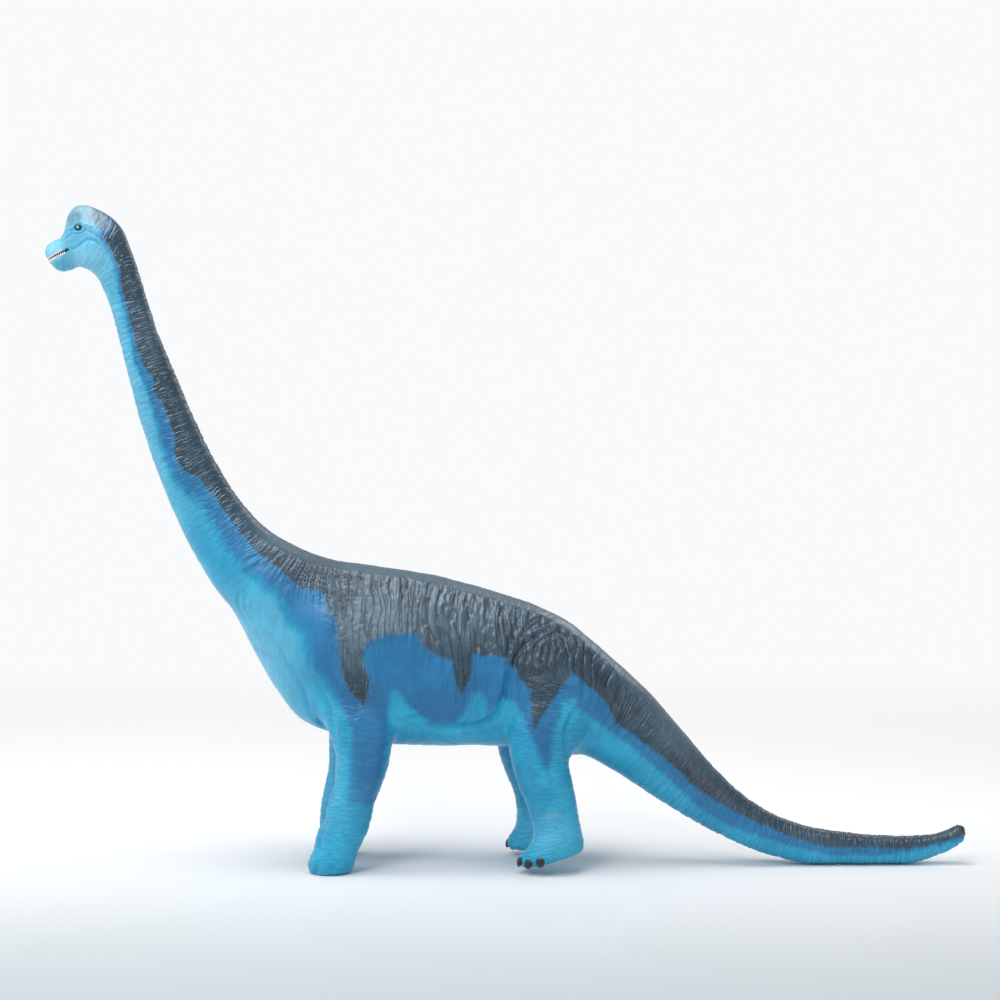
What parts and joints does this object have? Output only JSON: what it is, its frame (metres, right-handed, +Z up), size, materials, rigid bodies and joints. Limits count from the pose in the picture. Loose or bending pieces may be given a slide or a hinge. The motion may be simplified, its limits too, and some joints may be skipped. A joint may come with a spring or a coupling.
{
  "type": "stuffed dinosaur",
  "caption": "Long-necked standing dinosaur toy: a thin painted rubber skin packed with fibre, with a soft flexing neck, tail and legs.",
  "frame": {"origin": "on the floor under the middle of the toy's length, on its plane of symmetry", "axes": "+X toward the tail, the head toward -X; +Z up from the floor; Y across, the toy's left side at -Y"},
  "size_m": [0.719, 0.1058, 0.514],
  "materials": {
    "slate_skin": "satin",
    "cyan_skin": "satin",
    "blue_skin": "satin",
    "fibre": "matte",
    "eye": "gloss",
    "teeth": "satin",
    "claws": "satin"
  },
  "bodies": {
    "trunk": {"torso_skin": "slate_skin", "breast_skin": "cyan_skin", "torso_stuffing": "fibre", "neck_base_sleeve": "cyan_skin", "tail_root_sleeve": "slate_skin", "front_left_sleeve": "cyan_skin", "front_right_sleeve": "cyan_skin", "hind_left_sleeve": "blue_skin", "hind_right_sleeve": "blue_skin"},
    "neck_lower": {"neck_lower_skin": "cyan_skin", "neck_lower_stuffing": "fibre", "neck_mid_sleeve": "cyan_skin"},
    "neck_upper": {"neck_upper_skin": "cyan_skin", "neck_upper_stuffing": "fibre", "nape_sleeve": "cyan_skin"},
    "head": {"head_skin": "slate_skin", "head_stuffing": "fibre", "left_eye": "eye", "right_eye": "eye", "upper_teeth": "teeth", "lower_teeth": "teeth"},
    "tail_upper": {"tail_upper_skin": "slate_skin", "tail_upper_stuffing": "fibre", "tail_mid_sleeve": "slate_skin"},
    "tail_mid": {"tail_mid_skin": "slate_skin", "tail_mid_stuffing": "fibre", "tail_tip_sleeve": "slate_skin"},
    "tail_tip": {"tail_tip_skin": "slate_skin", "tail_tip_stuffing": "fibre"},
    "front_left_leg": {"front_left_leg_skin": "cyan_skin", "front_left_leg_stuffing": "fibre"},
    "front_right_leg": {"front_right_leg_skin": "cyan_skin", "front_right_leg_stuffing": "fibre"},
    "hind_left_leg": {"hind_left_leg_skin": "blue_skin", "hind_left_leg_stuffing": "fibre", "hind_left_claws": "claws"},
    "hind_right_leg": {"hind_right_leg_skin": "blue_skin", "hind_right_leg_stuffing": "fibre", "hind_right_claws": "claws"}
  },
  "joints": [
    {"name": "neck_base_flex", "type": "hinge", "parent": "trunk", "child": "neck_lower", "pos_m": [-0.224, 0, 0.262], "axis": [0, 1, 0], "range_deg": [-14, 14], "stiffness_Nm_per_rad": 5, "deforming": ["neck_base_sleeve"]},
    {"name": "neck_mid_flex", "type": "hinge", "parent": "neck_lower", "child": "neck_upper", "pos_m": [-0.2715, 0, 0.3635], "axis": [0.9453, 0, 0.3261], "range_deg": [-18, 18], "stiffness_Nm_per_rad": 3, "deforming": ["neck_mid_sleeve"]},
    {"name": "head_nod", "type": "hinge", "parent": "neck_upper", "child": "head", "pos_m": [-0.297, 0, 0.443], "axis": [0, 1, 0], "range_deg": [-12, 12], "stiffness_Nm_per_rad": 1.2, "deforming": ["nape_sleeve"]},
    {"name": "tail_root_flex", "type": "hinge", "parent": "trunk", "child": "tail_upper", "pos_m": [0.09, 0, 0.1075], "axis": [0.6198, 0, 0.7848], "range_deg": [-12, 12], "stiffness_Nm_per_rad": 4, "deforming": ["tail_root_sleeve"]},
    {"name": "tail_mid_flex", "type": "hinge", "parent": "tail_upper", "child": "tail_mid", "pos_m": [0.1645, 0, 0.0465], "axis": [0, 1, 0], "range_deg": [-14, 5], "stiffness_Nm_per_rad": 4, "deforming": ["tail_mid_sleeve"]},
    {"name": "tail_tip_flex", "type": "hinge", "parent": "tail_mid", "child": "tail_tip", "pos_m": [0.2495, 0, 0.0135], "axis": [0, 0, 1], "range_deg": [-20, 20], "stiffness_Nm_per_rad": 0.8, "deforming": ["tail_tip_sleeve"]},
    {"name": "front_left_flex", "type": "hinge", "parent": "trunk", "child": "front_left_leg", "pos_m": [-0.1155, -0.034, 0.08], "axis": [0, 1, 0], "range_deg": [-8, 8], "stiffness_Nm_per_rad": 6, "deforming": ["front_left_sleeve"]},
    {"name": "front_right_flex", "type": "hinge", "parent": "trunk", "child": "front_right_leg", "pos_m": [-0.1155, 0.034, 0.08], "axis": [0, 1, 0], "range_deg": [-8, 8], "stiffness_Nm_per_rad": 6, "deforming": ["front_right_sleeve"]},
    {"name": "hind_left_flex", "type": "hinge", "parent": "trunk", "child": "hind_left_leg", "pos_m": [0.0255, -0.034, 0.077], "axis": [0, 1, 0], "range_deg": [-8, 8], "stiffness_Nm_per_rad": 6, "deforming": ["hind_left_sleeve"]},
    {"name": "hind_right_flex", "type": "hinge", "parent": "trunk", "child": "hind_right_leg", "pos_m": [0.0175, 0.034, 0.077], "axis": [0, 1, 0], "range_deg": [-8, 8], "stiffness_Nm_per_rad": 6, "deforming": ["hind_right_sleeve"]}
  ]
}
